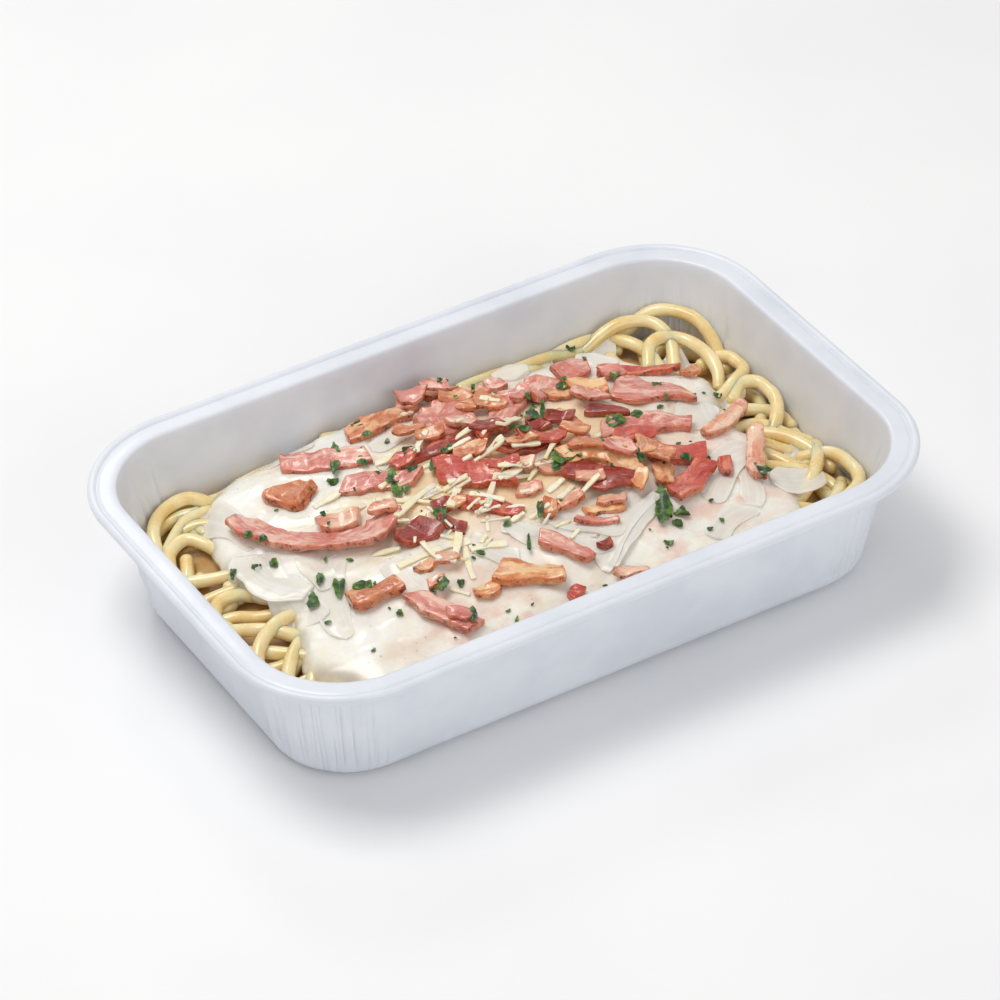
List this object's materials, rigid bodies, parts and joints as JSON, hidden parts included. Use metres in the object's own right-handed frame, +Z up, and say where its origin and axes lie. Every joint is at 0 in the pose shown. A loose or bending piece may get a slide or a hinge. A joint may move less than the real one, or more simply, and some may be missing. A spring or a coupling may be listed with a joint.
{
  "type": "foil tray meal",
  "caption": "Shallow open foil tray with rounded corners, filled with spaghetti under cream sauce and bacon.",
  "frame": {"origin": "centre of the tray's flat base", "axes": "+X along the tray, +Y to its back long side, +Z up"},
  "size_m": [0.1626, 0.109, 0.0313],
  "materials": {
    "foil": "white lacquered foil, satin",
    "noodle": "cooked pasta, moist",
    "cream": "glossy cream sauce",
    "bacon": "fried bacon, moist",
    "onion": "translucent cooked onion"
  },
  "bodies": {
    "root": {"tray": "foil", "spaghetti": "noodle", "sauce": "cream", "bacon_01": "bacon", "bacon_02": "bacon", "bacon_03": "bacon", "bacon_04": "bacon", "bacon_05": "bacon", "bacon_06": "bacon", "bacon_07": "bacon", "bacon_08": "bacon", "bacon_09": "bacon", "bacon_10": "bacon", "bacon_11": "bacon", "bacon_12": "bacon", "bacon_13": "bacon", "bacon_14": "bacon", "bacon_15": "bacon", "bacon_16": "bacon", "bacon_17": "bacon", "bacon_18": "bacon", "bacon_19": "bacon", "bacon_20": "bacon", "bacon_21": "bacon", "bacon_22": "bacon", "bacon_23": "bacon", "bacon_24": "bacon", "bacon_25": "bacon", "bacon_26": "bacon", "bacon_27": "bacon", "bacon_28": "bacon", "bacon_29": "bacon", "bacon_30": "bacon", "bacon_31": "bacon", "bacon_32": "bacon", "bacon_33": "bacon", "bacon_34": "bacon", "bacon_35": "bacon", "bacon_36": "bacon", "bacon_37": "bacon", "bacon_38": "bacon", "bacon_39": "bacon", "bacon_40": "bacon", "bacon_41": "bacon", "bacon_42": "bacon", "bacon_43": "bacon", "bacon_44": "bacon", "bacon_45": "bacon", "bacon_46": "bacon", "onion_01": "onion", "onion_02": "onion", "onion_03": "onion", "onion_04": "onion", "onion_05": "onion", "onion_06": "onion", "onion_07": "onion", "onion_08": "onion"}
  },
  "joints": []
}
